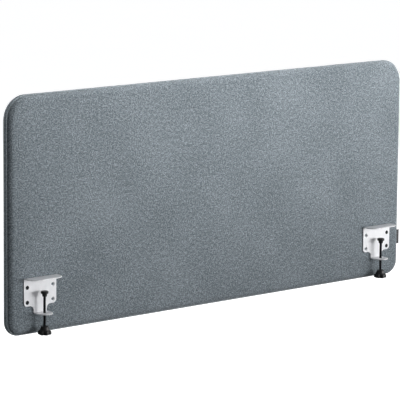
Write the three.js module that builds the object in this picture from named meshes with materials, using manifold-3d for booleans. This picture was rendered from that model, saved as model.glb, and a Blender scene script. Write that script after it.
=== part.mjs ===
// Desk privacy panel: an upholstered screen that clamps to the edge of a desk top.
//
// Units are millimetres and +Z is up. X runs along the panel, and -Y points to the desk,
// which the two brackets reach round. Every piece is built in panel space, with X = 0 at
// the middle, Y = 0 at mid-thickness and Z = 0 at the lower edge. The last group moves
// the whole so that the origin is where the desk top's upper edge meets the brackets.

import * as THREE from 'three';
import { mergeVertices } from 'three/addons/utils/BufferGeometryUtils.js';
import Module from 'manifold-3d';

const wasm = await Module();
wasm.setup();

// ---------------------------------------------------------------- driving dimensions

const GAP = 0.3; // clearance between neighbouring pieces

const PANEL = { width: 1600, height: 700, thickness: 40, topCorner: 72, bottomCorner: 42 };
const COVER_THICKNESS = 1.2;
const WADDING_THICKNESS = 3.2;
const WELT = { radius: 2.2, proud: 0.6, forward: 4 }; // forward of mid-thickness
const LABEL = { low: 94, high: 140, reach: 13, thickness: 1.6 };
const FRAME = { stile: 40, rail: 45 };
const BLOCK = { innerEdge: 620, top: 182 };

const BRACKET = {
  centreX: 690.5, width: 119, sheet: 3, bend: 3,
  top: 169, shoulder: 85, bottom: 61.5,
  flangeReach: 48, flangeCorner: 30,
  neck: 48, shoulderCorner: 11, neckFillet: 14,
  holeX: 47, holeLow: 96.5, holeHigh: 140.5, sinkRadius: 6.3, sinkRim: 0.8,
};
const CLAMP = {
  axisReach: 23.2, // from the back of the bracket to the clamp screw's axis
  rodRadius: 4, rodFoot: 4, rodTop: 118.4, rodBevel: 0.8,
  neckRadius: 2.6, neckLength: 1.8, tipRadius: 3.4, tipTop: 123.2, tipBevel: 0.8,
};
const PAD = {
  bottom: 113, shoulder: 121.5, top: 128.7, radius: 11.5, collar: 7.6, mouth: 6.6,
  play: 0.4, lip: 1.3, // the lip is what catches the tip of the rod
};
const KNOB = { lobes: 6, hubTop: 25, hubRadius: 11.8, starTop: 12, starRadius: 18, lobe: 2.5 };
const FIXING = {
  shank: 2.9, head: 6, rim: 0.4, length: 20, point: 0.8, socketRadius: 2.3, socketDepth: 1.8,
  clearance: 3.6, // radius of its hole through the cover and wadding
};
const INSERT = { radius: 5, bore: 3.25, length: 13 };

// ---------------------------------------------------------------- derived places

const HALF = PANEL.thickness / 2;
const COVER_INNER = HALF - COVER_THICKNESS;
const WADDING_OUTER = COVER_INNER - GAP;
const WADDING_INNER = WADDING_OUTER - WADDING_THICKNESS;
const CORE_HALF = WADDING_INNER - GAP;
const PLATE_BACK = -HALF - GAP;
const PLATE_FRONT = PLATE_BACK - BRACKET.sheet;
const FLANGE_UNDERSIDE = BRACKET.top - BRACKET.sheet;
const AXIS_Y = PLATE_BACK - CLAMP.axisReach;
const SIDES = { left: -1, right: 1 };
const FIXING_HEIGHTS = { upper: BRACKET.holeHigh, lower: BRACKET.holeLow };
const fixingX = (side) => side * (BRACKET.centreX + BRACKET.holeX);

// ---------------------------------------------------------------- materials

const finish = (color, roughness, metalness = 0) =>
  new THREE.MeshStandardMaterial({ color, roughness, metalness });

const MATERIAL = {
  fabric: () => finish(0x727c82, 0.95),
  welt: () => finish(0x7c868b, 0.95),
  wadding: () => finish(0xe9e7e0, 1),
  timber: () => finish(0xc9a777, 0.8),
  felt: () => finish(0x8d8f8c, 1),
  label: () => finish(0x15161a, 0.9),
  powderCoat: () => finish(0xdfe1e5, 0.45, 0.1),
  blackSteel: () => finish(0x141416, 0.45, 0.6),
  blackPlastic: () => finish(0x17171a, 0.55),
  zinc: () => finish(0xb9bcc0, 0.4, 0.9),
};

// ---------------------------------------------------------------- solids

function signedVolume(geometry) {
  const position = geometry.attributes.position;
  const index = geometry.index.array;
  const [a, b, c] = [new THREE.Vector3(), new THREE.Vector3(), new THREE.Vector3()];
  let volume = 0;
  for (let i = 0; i < index.length; i += 3) {
    a.fromBufferAttribute(position, index[i]);
    b.fromBufferAttribute(position, index[i + 1]);
    c.fromBufferAttribute(position, index[i + 2]);
    volume += a.dot(b.cross(c)) / 6;
  }
  return volume;
}

// Merges shared corners, drops triangles with no area and turns the faces outwards.
function welded(source) {
  const bare = source.clone();
  bare.deleteAttribute('normal');
  bare.deleteAttribute('uv');
  const geometry = mergeVertices(bare, 1e-4);
  const kept = [];
  const index = geometry.index.array;
  for (let i = 0; i < index.length; i += 3) {
    const [a, b, c] = [index[i], index[i + 1], index[i + 2]];
    if (a !== b && b !== c && c !== a) kept.push(a, b, c);
  }
  geometry.setIndex(kept);
  if (signedVolume(geometry) < 0) {
    for (let i = 0; i < kept.length; i += 3) [kept[i], kept[i + 1]] = [kept[i + 1], kept[i]];
    geometry.setIndex(kept);
  }
  return geometry;
}

function toManifold(source) {
  const geometry = welded(source);
  return new wasm.Manifold(new wasm.Mesh({
    numProp: 3,
    vertProperties: new Float32Array(geometry.attributes.position.array),
    triVerts: new Uint32Array(geometry.index.array),
  }));
}

function fromManifold(manifold) {
  const mesh = manifold.getMesh();
  const geometry = new THREE.BufferGeometry();
  geometry.setAttribute('position', new THREE.BufferAttribute(mesh.vertProperties, 3));
  geometry.setIndex(new THREE.BufferAttribute(mesh.triVerts, 1));
  return geometry;
}

const join = (parts) => parts.map(toManifold).reduce((all, part) => all.add(part));

function cutFrom(source, cutters) {
  return fromManifold(cutters.reduce((rest, part) => rest.subtract(toManifold(part)),
    toManifold(source)));
}

function box(lowX, highX, lowY, highY, lowZ, highZ) {
  return new THREE.BoxGeometry(highX - lowX, highY - lowY, highZ - lowZ)
    .translate((lowX + highX) / 2, (lowY + highY) / 2, (lowZ + highZ) / 2);
}

// A solid of revolution about Z through the origin, from [radius, height] pairs.
function lathe(profile, segments) {
  const points = profile.map(([radius, height]) => new THREE.Vector2(radius, height));
  return new THREE.LatheGeometry(points, segments).rotateX(Math.PI / 2);
}

// The same about a line along Y: heights become distances in front of y = 0.
const latheForward = (profile, segments) => lathe(profile, segments).rotateX(Math.PI / 2);

// Extrudes a shape, and places its x, y and depth directions along the given axes.
function extrude(shape, depth, xAxis, yAxis, zAxis, curveSegments = 8) {
  const geometry = new THREE.ExtrudeGeometry(shape, { depth, bevelEnabled: false, curveSegments });
  return geometry.applyMatrix4(new THREE.Matrix4().makeBasis(xAxis, yAxis, zAxis));
}

const AXIS = {
  x: new THREE.Vector3(1, 0, 0), y: new THREE.Vector3(0, 1, 0), z: new THREE.Vector3(0, 0, 1),
  left: new THREE.Vector3(-1, 0, 0), front: new THREE.Vector3(0, -1, 0),
};

// Joins equal rings of points into a closed skin. An open stack is capped at both ends
// with a fan, and a looped one runs from its last ring back to its first.
function skinOfRings(rings, looped = false) {
  const count = rings[0].length;
  const positions = rings.flat().flatMap((point) => point.toArray());
  const index = [];
  const at = (ring, i) => (ring % rings.length) * count + (i % count);
  const spans = looped ? rings.length : rings.length - 1;
  for (let ring = 0; ring < spans; ring += 1) {
    for (let i = 0; i < count; i += 1) {
      const [a, b] = [at(ring, i), at(ring, i + 1)];
      const [c, d] = [at(ring + 1, i + 1), at(ring + 1, i)];
      index.push(a, d, c, a, c, b);
    }
  }
  if (!looped) {
    for (const [ring, flip] of [[0, false], [rings.length - 1, true]]) {
      const hub = positions.length / 3;
      const middle = new THREE.Vector3();
      rings[ring].forEach((point) => middle.add(point));
      positions.push(...middle.divideScalar(count).toArray());
      for (let i = 0; i < count; i += 1) {
        const [a, b] = [at(ring, i), at(ring, i + 1)];
        index.push(hub, flip ? b : a, flip ? a : b);
      }
    }
  }
  const geometry = new THREE.BufferGeometry();
  geometry.setAttribute('position', new THREE.Float32BufferAttribute(positions, 3));
  geometry.setIndex(index);
  return geometry;
}

// ---------------------------------------------------------------- the padded panel

// The panel's edge is a half-round of radius HALF about a spine, which runs all round
// HALF inside the outline. Each spine point carries the direction that faces outwards.
function spine(cornerSegments = 8) {
  const halfWidth = PANEL.width / 2 - HALF;
  const corners = [
    [halfWidth, HALF, PANEL.bottomCorner - HALF, 1, -1, -90],
    [halfWidth, PANEL.height - HALF, PANEL.topCorner - HALF, 1, 1, 0],
    [-halfWidth, PANEL.height - HALF, PANEL.topCorner - HALF, -1, 1, 90],
    [-halfWidth, HALF, PANEL.bottomCorner - HALF, -1, -1, 180],
  ];
  return corners.flatMap(([x, z, radius, signX, signZ, startDegrees]) => {
    const centreX = x - signX * radius;
    const centreZ = z - signZ * radius;
    return Array.from({ length: cornerSegments + 1 }, (_, i) => {
      const angle = THREE.MathUtils.degToRad(startDegrees + (90 * i) / cornerSegments);
      const out = new THREE.Vector3(Math.cos(angle), 0, Math.sin(angle));
      const point = new THREE.Vector3(centreX, 0, centreZ).addScaledVector(out, radius);
      return { point, out };
    });
  });
}

const SPINE = spine();
const ringAt = (reach, y) =>
  SPINE.map(({ point, out }) => point.clone().addScaledVector(out, reach).setY(y));

// Quarter-round stations [reach, y] of a front half, from its face to the level edgeY.
function quarter(radius, edgeY, segments = 5) {
  const last = Math.acos(-edgeY / radius);
  return Array.from({ length: segments + 1 }, (_, i) => {
    const angle = (last * i) / segments;
    return [radius * Math.sin(angle), -radius * Math.cos(angle)];
  });
}

// One half of a layer that wraps the panel: a shallow pan whose rim stops at edgeY.
function halfShell(outer, inner, edgeY, side) {
  const stations = [...quarter(outer, edgeY), ...quarter(inner, edgeY).reverse()];
  return skinOfRings(stations.map(([reach, y]) => ringAt(reach, side * y)));
}

// Clearance holes through the front layers for the four fixing screws.
function fixingHoles() {
  const radius = FIXING.clearance;
  return Object.values(SIDES).flatMap((side) => Object.values(FIXING_HEIGHTS).map((z) =>
    latheForward([[0, 0], [radius, 0], [radius, 2 * HALF], [0, 2 * HALF]], 16)
      .translate(fixingX(side), -CORE_HALF + 1, z)));
}

// The seam is a little in front of mid-thickness, so the rear layers reach further round.
const FRONT_EDGE = -WELT.forward - (WELT.radius + GAP);
const REAR_EDGE = WELT.forward - (WELT.radius + GAP);
const WELT_REACH = Math.sqrt((HALF + WELT.proud - WELT.radius) ** 2 - WELT.forward ** 2);

const frontLayer = (outer, inner) => cutFrom(halfShell(outer, inner, FRONT_EDGE, 1), fixingHoles());
const rearLayer = (outer, inner) => halfShell(outer, inner, REAR_EDGE, -1);

// The round welt sewn between the two covers, standing a little proud of them.
function edgeWelt() {
  const sides = 6;
  const rings = Array.from({ length: sides }, (_, i) => {
    const angle = (2 * Math.PI * i) / sides;
    return ringAt(WELT_REACH + WELT.radius * Math.cos(angle),
      WELT.radius * Math.sin(angle) - WELT.forward);
  });
  return skinOfRings(rings, true);
}

// A folded ribbon in the seam, its fold outwards.
function labelTab() {
  const start = PANEL.width / 2 - HALF + WELT_REACH + WELT.radius + GAP;
  const end = PANEL.width / 2 + LABEL.reach;
  const half = LABEL.thickness / 2;
  const section = new THREE.Shape()
    .moveTo(start, -half)
    .lineTo(end - half, -half)
    .absarc(end - half, 0, half, -Math.PI / 2, Math.PI / 2, false)
    .lineTo(start, half)
    .closePath();
  return extrude(section, LABEL.high - LABEL.low, AXIS.x, AXIS.y, AXIS.z, 4)
    .translate(0, -WELT.forward, LABEL.low);
}

// ---------------------------------------------------------------- the core

// The whole core is a slab with half-round edges, shared out among its pieces by boxes.
function coreSlab() {
  const sides = 8;
  const stations = Array.from({ length: sides + 1 }, (_, i) => {
    const angle = (Math.PI * i) / sides;
    return [CORE_HALF * Math.sin(angle), -CORE_HALF * Math.cos(angle)];
  });
  return toManifold(skinOfRings(stations.map(([reach, y]) => ringAt(reach, y))));
}

const CORE = coreSlab();
const WIDE = PANEL.width;
const STILE_INNER = PANEL.width / 2 - HALF + CORE_HALF - FRAME.stile;
const BOTTOM_RAIL_TOP = HALF - CORE_HALF + FRAME.rail;
const TOP_RAIL_BOTTOM = PANEL.height - BOTTOM_RAIL_TOP;

const corePiece = (lowX, highX, lowZ, highZ) =>
  CORE.intersect(toManifold(box(lowX, highX, -WIDE, WIDE, lowZ, highZ)));

const topRail = () => fromManifold(corePiece(-WIDE, WIDE, TOP_RAIL_BOTTOM, WIDE));
const bottomRail = () => fromManifold(corePiece(-WIDE, WIDE, -WIDE, BOTTOM_RAIL_TOP));

function stile(side) {
  const [low, high] = [STILE_INNER, WIDE].map((x) => side * x).sort((a, b) => a - b);
  return fromManifold(corePiece(low, high, BOTTOM_RAIL_TOP + GAP, TOP_RAIL_BOTTOM - GAP));
}

function blockBox(side, margin) {
  const [low, high] = [BLOCK.innerEdge - margin, STILE_INNER - GAP + margin]
    .map((x) => side * x).sort((a, b) => a - b);
  return box(low, high, -CORE_HALF - margin, CORE_HALF + margin,
    BOTTOM_RAIL_TOP + GAP - margin, BLOCK.top + margin);
}

// The timber block behind a bracket, with a blind hole for each threaded insert.
function mountingBlock(side) {
  const depth = INSERT.length + 2 * GAP;
  const radius = INSERT.radius + GAP;
  const holes = Object.values(FIXING_HEIGHTS).map((z) =>
    latheForward([[0, 0], [radius, 0], [radius, 2 * depth], [0, 2 * depth]], 20)
      .translate(fixingX(side), -CORE_HALF + depth, z));
  return cutFrom(blockBox(side, 0), holes);
}

function acousticCore() {
  const edge = STILE_INNER - GAP;
  const slab = box(-edge, edge, -CORE_HALF, CORE_HALF,
    BOTTOM_RAIL_TOP + GAP, TOP_RAIL_BOTTOM - GAP);
  return cutFrom(slab, Object.values(SIDES).map((side) => blockBox(side, 2 * GAP)));
}

// ---------------------------------------------------------------- fixings

// A threaded sleeve, open at the front and flush with the block's face.
function threadedInsert() {
  return latheForward([
    [INSERT.bore, 0], [INSERT.radius, 0], [INSERT.radius, INSERT.length],
    [INSERT.bore, INSERT.length], [INSERT.bore, 0],
  ], 20).translate(0, -CORE_HALF + INSERT.length, 0);
}

// A countersunk screw with a hexagon socket, its head a little below the plate's face.
function fixingScrew() {
  const { shank, head, rim, length, point, socketRadius, socketDepth } = FIXING;
  const sink = head - shank;
  const body = latheForward([
    [0, 0], [shank - point, 0], [shank, point], [shank, length - sink - rim],
    [head, length - rim], [head, length], [0, length],
  ], 24);
  const socket = new THREE.CylinderGeometry(socketRadius, socketRadius, 2 * socketDepth, 6)
    .translate(0, -length, 0);
  return cutFrom(body, [socket]);
}

// ---------------------------------------------------------------- brackets

// The bent strip seen from the side: flange, plate and tongue, with rounded bends.
function stripSection() {
  const { sheet, bend, top, bottom, flangeReach } = BRACKET;
  const outer = sheet + bend;
  const tongueReach = CLAMP.axisReach + BRACKET.neck / 2;
  const quarterTurn = Math.PI / 2;
  return new THREE.Shape()
    .moveTo(flangeReach, top)
    .lineTo(outer, top)
    .absarc(outer, top - outer, outer, quarterTurn, Math.PI, false)
    .lineTo(0, bottom + outer)
    .absarc(outer, bottom + outer, outer, Math.PI, 3 * quarterTurn, false)
    .lineTo(tongueReach, bottom)
    .lineTo(tongueReach, bottom + sheet)
    .lineTo(outer, bottom + sheet)
    .absarc(outer, bottom + outer, bend, 3 * quarterTurn, Math.PI, true)
    .lineTo(sheet, top - outer)
    .absarc(outer, top - outer, bend, Math.PI, quarterTurn, true)
    .lineTo(flangeReach, top - sheet)
    .closePath();
}

// The strip seen from the front: wide above its shoulders, and a neck below them.
function frontOutline() {
  const { shoulderCorner: corner, neckFillet: fillet, shoulder } = BRACKET;
  const [half, neck] = [BRACKET.width / 2, BRACKET.neck / 2];
  const [above, below] = [BRACKET.top + 1, BRACKET.bottom - 1];
  const quarterTurn = Math.PI / 2;
  return new THREE.Shape()
    .moveTo(-half, above)
    .lineTo(-half, shoulder + corner)
    .absarc(corner - half, shoulder + corner, corner, Math.PI, 3 * quarterTurn, false)
    .lineTo(-neck - fillet, shoulder)
    .absarc(-neck - fillet, shoulder - fillet, fillet, quarterTurn, 0, true)
    .lineTo(-neck, below)
    .lineTo(neck, below)
    .lineTo(neck, shoulder - fillet)
    .absarc(neck + fillet, shoulder - fillet, fillet, Math.PI, quarterTurn, true)
    .lineTo(half - corner, shoulder)
    .absarc(half - corner, shoulder + corner, corner, -quarterTurn, 0, false)
    .lineTo(half, above)
    .closePath();
}

// Seen from above, the flange has two rounded front corners.
function flangePlan() {
  const { flangeCorner: corner } = BRACKET;
  const half = BRACKET.width / 2;
  const front = PLATE_BACK - BRACKET.flangeReach;
  return new THREE.Shape()
    .moveTo(half, PLATE_BACK + 1)
    .lineTo(-half, PLATE_BACK + 1)
    .lineTo(-half, front + corner)
    .absarc(corner - half, front + corner, corner, Math.PI, 1.5 * Math.PI, false)
    .lineTo(half - corner, front)
    .absarc(half - corner, front + corner, corner, -Math.PI / 2, 0, false)
    .closePath();
}

// Seen from above, the tongue ends in a half-round about the clamp screw's axis.
function tonguePlan() {
  const half = BRACKET.neck / 2;
  return new THREE.Shape()
    .moveTo(half, PLATE_BACK + 1)
    .lineTo(-half, PLATE_BACK + 1)
    .lineTo(-half, AXIS_Y)
    .absarc(0, AXIS_Y, half, Math.PI, 2 * Math.PI, false)
    .closePath();
}

function bracket() {
  const { width, sheet, top, bottom, flangeReach, sinkRadius, sinkRim } = BRACKET;
  const holeRadius = sinkRadius - (sheet - sinkRim);
  const strip = extrude(stripSection(), width, AXIS.front, AXIS.z, AXIS.left, 5)
    .translate(width / 2, PLATE_BACK, 0);
  const front = extrude(frontOutline(), flangeReach + 2, AXIS.x, AXIS.z, AXIS.front, 8)
    .translate(0, PLATE_BACK + 1, 0);
  const parting = BRACKET.shoulder - BRACKET.neckFillet - 1;
  const plan = join([
    extrude(flangePlan(), top + 1 - parting, AXIS.x, AXIS.y, AXIS.z, 8).translate(0, 0, parting),
    extrude(tonguePlan(), parting + 2 - bottom, AXIS.x, AXIS.y, AXIS.z, 12)
      .translate(0, 0, bottom - 1),
  ]);
  const sheetMetal = toManifold(strip).intersect(toManifold(front)).intersect(plan);

  const countersunk = latheForward([
    [0, -1], [holeRadius, -1], [holeRadius, 0], [sinkRadius, sheet - sinkRim],
    [sinkRadius, sheet + 1], [0, sheet + 1],
  ], 24);
  const holes = [-BRACKET.holeX, BRACKET.holeX].flatMap((x) =>
    Object.values(FIXING_HEIGHTS).map((z) => countersunk.clone().translate(x, PLATE_BACK, z)));
  const threadRadius = CLAMP.rodRadius + GAP;
  holes.push(lathe([
    [0, bottom - 1], [threadRadius, bottom - 1],
    [threadRadius, bottom + sheet + 1], [0, bottom + sheet + 1],
  ], 24).translate(0, AXIS_Y, 0));
  return fromManifold(holes.reduce((rest, hole) => rest.subtract(toManifold(hole)), sheetMetal));
}

// ---------------------------------------------------------------- clamp screws

// The threaded rod. Its necked tip snaps into the pressure pad and turns there.
function clampScrew() {
  const { rodRadius, rodFoot, rodTop, rodBevel, neckRadius, neckLength } = CLAMP;
  const { tipRadius, tipTop, tipBevel } = CLAMP;
  const neckTop = rodTop + neckLength;
  return lathe([
    [0, rodFoot], [rodRadius - rodBevel, rodFoot], [rodRadius, rodFoot + rodBevel],
    [rodRadius, rodTop - rodBevel], [rodRadius - rodBevel, rodTop], [neckRadius, rodTop],
    [neckRadius, neckTop], [tipRadius, neckTop + tipBevel], [tipRadius, tipTop - tipBevel],
    [tipRadius - tipBevel, tipTop], [0, tipTop],
  ], 20);
}

// The swivel foot that presses on the underside of the desk top.
function pressurePad() {
  const { rodRadius, rodTop, neckRadius, tipRadius, tipTop } = CLAMP;
  const { bottom, shoulder, top, radius, collar, mouth, play, lip } = PAD;
  return lathe([
    [0, tipTop + play], [tipRadius + play, tipTop + play],
    [tipRadius + play, rodTop + lip + play], [neckRadius + play, rodTop + lip + play],
    [neckRadius + play, rodTop + play], [rodRadius + play, rodTop + play],
    [rodRadius + play, bottom], [mouth, bottom], [collar, shoulder - 2], [collar, shoulder],
    [radius - 0.8, shoulder], [radius, shoulder + 1], [radius, top - 1.4],
    [radius - 0.5, top - 0.5], [radius - 1.6, top], [0, top],
  ], 24);
}

// A star grip: lobed rings below blend into a round hub, with a blind bore for the rod.
function knob() {
  const { lobes, hubTop, hubRadius, starTop, starRadius, lobe } = KNOB;
  const bore = CLAMP.rodRadius + GAP;
  const boreFoot = CLAMP.rodFoot - GAP;
  const stations = [
    [starRadius - 4, lobe * 0.6, 0], [starRadius - 1.4, lobe * 0.9, 0.8],
    [starRadius, lobe, 2.6], [starRadius, lobe, starTop - 3],
    [starRadius - 1.4, lobe * 0.8, starTop - 0.8], [hubRadius + 2.4, lobe * 0.3, starTop + 1.6],
    [hubRadius + 1, 0, starTop + 4.4], [hubRadius, 0, hubTop - 1],
    [hubRadius - 0.9, 0, hubTop], [bore, 0, hubTop], [bore, 0, boreFoot],
  ];
  const sides = lobes * 6;
  return skinOfRings(stations.map(([radius, ripple, z]) =>
    Array.from({ length: sides }, (_, i) => {
      const angle = (2 * Math.PI * i) / sides;
      const reach = radius + ripple * Math.cos(lobes * angle);
      return new THREE.Vector3(reach * Math.cos(angle), reach * Math.sin(angle), z);
    })));
}

// ---------------------------------------------------------------- assembly

const panelSpace = new THREE.Group();
panelSpace.position.set(0, -PLATE_FRONT, -FLANGE_UNDERSIDE);

function add(name, geometry, material, position = [0, 0, 0], turn = 0) {
  const mesh = new THREE.Mesh(welded(geometry), material);
  mesh.name = name;
  mesh.position.set(...position);
  mesh.rotation.z = turn;
  panelSpace.add(mesh);
}

add('frame_top_rail', topRail(), MATERIAL.timber());
add('frame_bottom_rail', bottomRail(), MATERIAL.timber());
add('acoustic_core', acousticCore(), MATERIAL.felt());
add('front_wadding', frontLayer(WADDING_OUTER, WADDING_INNER), MATERIAL.wadding());
add('rear_wadding', rearLayer(WADDING_OUTER, WADDING_INNER), MATERIAL.wadding());
add('front_cover', frontLayer(HALF, COVER_INNER), MATERIAL.fabric());
add('rear_cover', rearLayer(HALF, COVER_INNER), MATERIAL.fabric());
add('edge_welt', edgeWelt(), MATERIAL.welt());
add('label_tab', labelTab(), MATERIAL.label());

for (const [name, side] of Object.entries(SIDES)) {
  const onAxis = [side * BRACKET.centreX, AXIS_Y, 0];
  add(`frame_${name}_stile`, stile(side), MATERIAL.timber());
  add(`${name}_mounting_block`, mountingBlock(side), MATERIAL.timber());
  add(`${name}_bracket`, bracket(), MATERIAL.powderCoat(), [side * BRACKET.centreX, 0, 0]);
  add(`${name}_clamp_screw`, clampScrew(), MATERIAL.blackSteel(), onAxis);
  add(`${name}_pressure_pad`, pressurePad(), MATERIAL.blackPlastic(), onAxis);
  add(`${name}_knob`, knob(), MATERIAL.blackPlastic(), onAxis, Math.PI / 12);
  for (const [level, z] of Object.entries(FIXING_HEIGHTS)) {
    add(`${name}_${level}_insert`, threadedInsert(), MATERIAL.zinc(), [fixingX(side), 0, z]);
    add(`${name}_${level}_fixing_screw`, fixingScrew(), MATERIAL.blackSteel(),
      [fixingX(side), PLATE_FRONT + GAP + FIXING.length, z]);
  }
}

const deskPrivacyPanel = new THREE.Group();
deskPrivacyPanel.add(panelSpace);

export default deskPrivacyPanel;
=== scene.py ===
import math

import bmesh
import bpy
import numpy as np
from mathutils import Matrix, Vector, noise
from mathutils.geometry import delaunay_2d_cdt


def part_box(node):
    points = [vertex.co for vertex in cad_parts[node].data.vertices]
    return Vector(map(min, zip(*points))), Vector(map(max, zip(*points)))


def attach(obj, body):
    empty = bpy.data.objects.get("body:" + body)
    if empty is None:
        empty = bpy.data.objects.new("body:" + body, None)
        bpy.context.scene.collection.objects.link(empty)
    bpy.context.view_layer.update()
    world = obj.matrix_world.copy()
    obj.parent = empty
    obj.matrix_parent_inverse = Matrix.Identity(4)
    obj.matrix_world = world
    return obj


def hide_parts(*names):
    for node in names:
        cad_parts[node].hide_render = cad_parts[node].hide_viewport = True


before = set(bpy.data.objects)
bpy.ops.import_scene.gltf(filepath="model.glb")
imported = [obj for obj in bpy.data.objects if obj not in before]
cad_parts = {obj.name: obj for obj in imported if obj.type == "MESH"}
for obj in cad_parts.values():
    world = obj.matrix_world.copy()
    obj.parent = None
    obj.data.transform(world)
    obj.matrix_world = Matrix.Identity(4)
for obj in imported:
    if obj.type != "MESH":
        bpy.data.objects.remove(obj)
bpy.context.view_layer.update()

# Lengths are millimetres in panel space: X along the panel, Y through it with -Y towards
# the desk, Z up from its lower edge. row_frame() turns them into metres in the row frame.

TAU = 2 * math.pi

# ---------------------------------------------------------------- sizes

COVER_LOW, COVER_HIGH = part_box("front_cover")[0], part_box("rear_cover")[1]
MIDDLE_Y = (COVER_LOW.y + COVER_HIGH.y) / 2
BOTTOM_Z = COVER_LOW.z
WIDTH = 1000 * (COVER_HIGH.x - COVER_LOW.x)
HEIGHT = 1000 * (COVER_HIGH.z - COVER_LOW.z)
HALF = 500 * (COVER_HIGH.y - COVER_LOW.y)  # half the thickness, and the edge's radius
TOP_CORNER, BOTTOM_CORNER = 72, 42
CLOTH = 1.2
PADDING_OUTER, PADDING_INNER = 18.5, 15.3

WELT_LOW, WELT_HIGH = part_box("edge_welt")
PIPING = {"radius": 2.2, "sides": 16, "clear": 0.3}
PIPING_Y = 500 * (WELT_LOW.y + WELT_HIGH.y) - 1000 * MIDDLE_Y
PIPING_REACH = 1000 * WELT_HIGH.x - WIDTH / 2 + HALF - PIPING["radius"]
RIBBON = {"low": 94, "high": 140, "start": 1000 * WELT_HIGH.x + 0.3,
          "end": 1000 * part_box("label_tab")[1].x, "layer": 0.6, "fold": 0.5}

SHEET = {
    "thickness": 3, "bend": 3, "edge": 0.45, "back": -20.3, "top": 169, "bottom": 61.5,
    "flange": 48, "half": 59.5, "flange_corner": 30, "shoulder": 85, "shoulder_corner": 11,
    "neck": 24, "neck_fillet": 14, "axis": 23.2,
}
HOLE = {"x": 47, "heights": {"upper": 140.5, "lower": 96.5}, "rim": 6.3, "back": 4.1,
        "rim_depth": 0.8, "cloth": 3.6}
FIXING = {"head": 6, "face": -23.0, "shank": 2.9, "length": 20, "point": 0.8, "rim": 0.4,
          "apothem": 2.0, "socket": 1.8}
ROD = {"radius": 4, "clear": 0.3, "low": 4, "high": 118.4, "pitch": 1.25, "thread": 0.62,
       "run_out": 2.5, "neck": 2.6, "neck_length": 1.8, "tip": 3.4, "tip_low": 121,
       "tip_high": 123.2, "bevel": 0.8}
AXIS_Y = SHEET["back"] - SHEET["axis"]
BRACKET_X = 690.5
SIDES = {"left": -1, "right": 1}


def row_frame(points):
    """An (n, 3) array of millimetres in panel space, as metres in the row frame."""
    return np.asarray(points, float) / 1000 + [0, MIDDLE_Y, BOTTOM_Z]


def smooth(share):
    """0 below 0, 1 above 1, and a gentle S between."""
    share = min(max(share, 0), 1)
    return share * share * (3 - 2 * share)


def uneven(x, z, size, seed):
    """Smooth noise about zero, in patches of about this size."""
    return noise.noise(Vector((x / size, z / size, seed)))


# ---------------------------------------------------------------- meshes

def lattice(rows, columns, wrap_rows=False, wrap_columns=True):
    """Quads over a grid of points, and the (row, column) of each quad's four corners."""
    row, column = np.meshgrid(
        np.arange(rows if wrap_rows else rows - 1),
        np.arange(columns if wrap_columns else columns - 1), indexing="ij")
    steps = [(0, 0), (0, 1), (1, 1), (1, 0)]
    corners = np.stack([np.stack([row.ravel() + r, column.ravel() + c], axis=1)
                        for r, c in steps], axis=1)
    quads = corners[..., 0] % rows * columns + corners[..., 1] % columns
    return quads, corners


def mesh_object(name, points, faces, body, material, stands_for=(), uv=None):
    """A smooth closed mesh on a body. uv holds one pair for each corner of each face."""
    mesh = bpy.data.meshes.new(name)
    mesh.from_pydata(row_frame(points).tolist(), [], [list(map(int, f)) for f in faces])
    if uv is not None:
        layer = mesh.uv_layers.new(name="cloth")
        layer.data.foreach_set("uv", np.asarray(uv, np.float32).ravel())
    surface = bmesh.new()
    surface.from_mesh(mesh)
    bmesh.ops.recalc_face_normals(surface, faces=surface.faces)
    surface.to_mesh(mesh)
    surface.free()
    mesh.shade_smooth()
    mesh.materials.append(material)
    obj = bpy.data.objects.new(name, mesh)
    bpy.context.collection.objects.link(obj)
    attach(obj, body)
    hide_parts(*stands_for)
    return obj


def crisp(obj):
    """Keeps flat faces flat beside their small rounded edges."""
    obj.modifiers.new("flat faces", "WEIGHTED_NORMAL").keep_sharp = True
    return obj


def shell(outer, inner, faces, loops):
    """A closed skin from two like layers, walled along each loop of shared indices."""
    count = len(outer)
    closed = [tuple(face) for face in faces]
    closed += [tuple(count + i for i in reversed(face)) for face in faces]
    for loop in loops:
        for a, b in zip(loop, np.roll(loop, -1)):
            closed.append((b, a, count + a, count + b))
    return np.concatenate([outer, inner]), closed


def skin(rings):
    """A closed skin over a stack of equal rings, with a flat fan at each end."""
    rings = np.asarray(rings, float)
    rows, columns, _ = rings.shape
    faces = [tuple(quad) for quad in lattice(rows, columns)[0]]
    first, last = rows * columns, rows * columns + 1
    top = (rows - 1) * columns
    for i in range(columns):
        j = (i + 1) % columns
        faces += [(first, j, i), (last, top + i, top + j)]
    points = np.concatenate([rings.reshape(-1, 3), [rings[0].mean(0)], [rings[-1].mean(0)]])
    return points, faces


FILLET_STEPS = 4


def filleted(corners):
    """A line of (radius, height, ripple) through corners, the last value of each of
    which is the length of its rounding."""
    places = [np.array(corner[:-1], float) for corner in corners]
    line = [places[0]]
    for before, here, after, corner in zip(places, places[1:], places[2:], corners[1:]):
        size = corner[-1]
        if size == 0:
            line.append(here)
            continue
        start = here + (before - here) * size / np.linalg.norm(before - here)
        end = here + (after - here) * size / np.linalg.norm(after - here)
        for t in np.linspace(0, 1, FILLET_STEPS + 1):
            line.append((1 - t) ** 2 * start + 2 * t * (1 - t) * here + t * t * end)
    line.append(places[-1])
    return line


def turned(corners, sides, wave=np.cos):
    """A turned solid about Z from (radius, height, ripple, rounding) corners. wave gives
    the ripple's shape at each angle."""
    angle = np.arange(sides) * TAU / sides
    rings = []
    for radius, height, ripple in filleted(corners):
        reach = radius + ripple * wave(angle)
        rings.append(np.stack([reach * np.cos(angle), reach * np.sin(angle),
                               np.full(sides, height)], axis=1))
    return skin(rings)


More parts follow.
